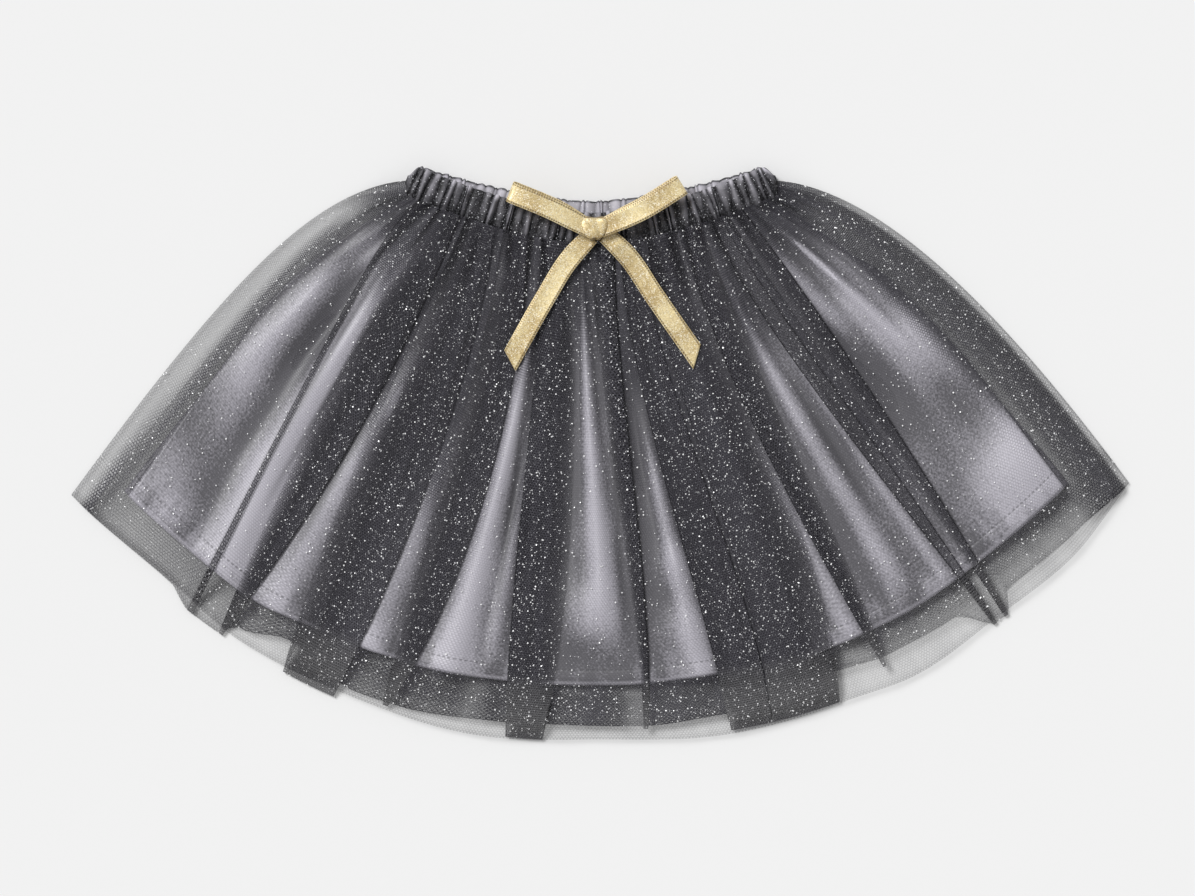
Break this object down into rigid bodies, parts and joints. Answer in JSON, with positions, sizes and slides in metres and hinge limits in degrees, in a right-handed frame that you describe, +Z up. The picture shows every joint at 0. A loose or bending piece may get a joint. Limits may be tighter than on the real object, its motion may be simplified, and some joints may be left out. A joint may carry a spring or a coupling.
{
  "type": "tutu skirt",
  "caption": "Child's layered tutu skirt laid flat: sheer glitter tulle over a satin lining and a net petticoat, gathered into an elastic waistband with a gold ribbon bow.",
  "frame": {"origin": "centre of the bounding box's base, on the surface that the skirt lies on", "axes": "+X across the skirt to the wearer's left as it lies front up, +Y from the hem to the waist, +Z up from the surface"},
  "size_m": [0.5308, 0.2886, 0.0194],
  "materials": {
    "glitter_tulle": "fine sheer charcoal tulle with small silver glitter flakes",
    "satin": "smooth silver-grey satin with a soft sheen",
    "petticoat_net": "plain sheer dark grey net, matte",
    "gathered_casing": "the skirt's tulle and satin gathered tight over elastic",
    "gold_ribbon": "pale gold glitter ribbon with stitched edges"
  },
  "bodies": {
    "root": {"tulle_front": "glitter_tulle", "tulle_back": "glitter_tulle", "lining_front": "satin", "lining_back": "satin", "petticoat_front": "petticoat_net", "petticoat_back": "petticoat_net", "waistband_front": "gathered_casing", "waistband_back": "gathered_casing", "bow_knot": "gold_ribbon", "bow_loop_left": "gold_ribbon", "bow_loop_right": "gold_ribbon", "bow_tail_left": "gold_ribbon", "bow_tail_right": "gold_ribbon"}
  },
  "joints": []
}
